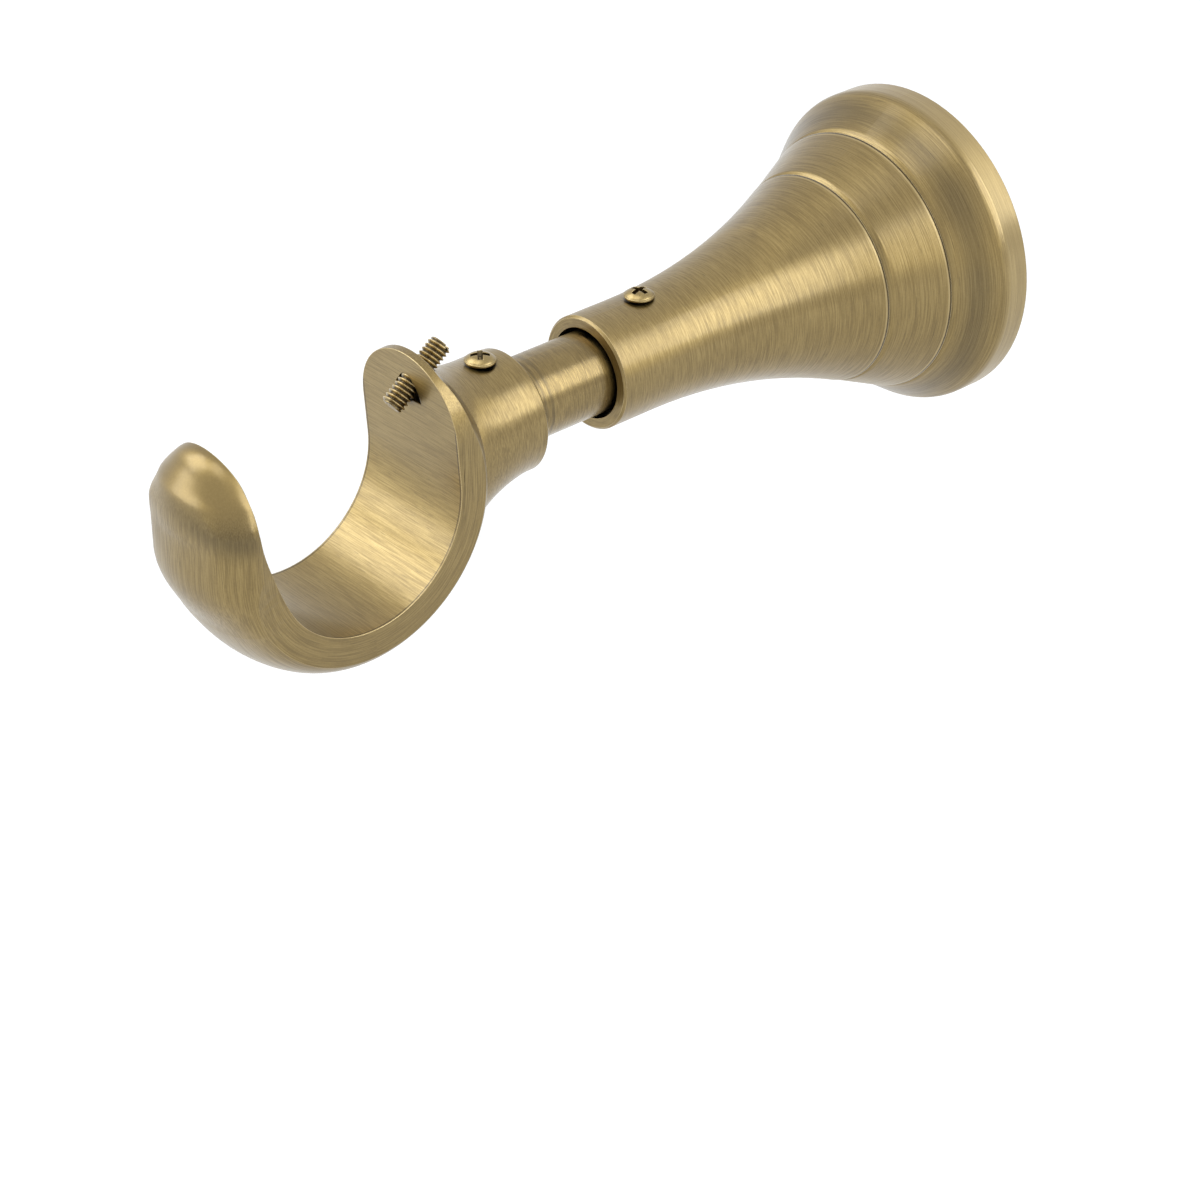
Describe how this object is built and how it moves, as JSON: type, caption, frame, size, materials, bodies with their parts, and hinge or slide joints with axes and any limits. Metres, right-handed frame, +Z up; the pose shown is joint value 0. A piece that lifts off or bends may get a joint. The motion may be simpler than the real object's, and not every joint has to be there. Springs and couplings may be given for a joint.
{
  "type": "curtain pole bracket",
  "caption": "Telescopic curtain pole bracket: bell-shaped wall base with turned grooves, sliding round rod, and an open hook with domed nose and a lock screw for the pole.",
  "frame": {"origin": "on the wall plane, on the axis of the rod", "axes": "+Y into the wall, so that the bracket projects towards -Y; +Z up; the pole lies along X"},
  "size_m": [0.06, 0.1669, 0.0617],
  "materials": {
    "bell_brass": "brushed round the axis, antique",
    "rod_brass": "brushed round the axis, antique",
    "hook_brass": "brushed, antique",
    "screw_brass": "plated, satin",
    "lock_brass": "plated, satin",
    "plate_steel": "zinc plated",
    "grub_steel": "zinc plated"
  },
  "bodies": {
    "base": {"bell": "bell_brass", "wall_plate": "plate_steel", "base_grub_screw": "grub_steel", "rod_clamp_screw": "screw_brass"},
    "arm": {"arm_rod": "rod_brass"},
    "hook_part": {"hook": "hook_brass", "hook_clamp_screw": "screw_brass"},
    "lock_screw": {"pole_lock_screw": "lock_brass"}
  },
  "joints": [
    {"name": "arm_slide", "type": "slide", "parent": "base", "child": "arm", "axis": [0, -1, 0], "range_m": [-0.017, 0.025]},
    {"name": "hook_turn", "type": "hinge", "parent": "arm", "child": "hook_part", "pos_m": [0, -0.1065, 0], "axis": [0, -1, 0], "continuous": true},
    {"name": "pole_lock", "type": "slide", "parent": "hook_part", "child": "lock_screw", "axis": [0, 0.7986, 0.6018], "range_m": [-0.002, 0.006]}
  ]
}
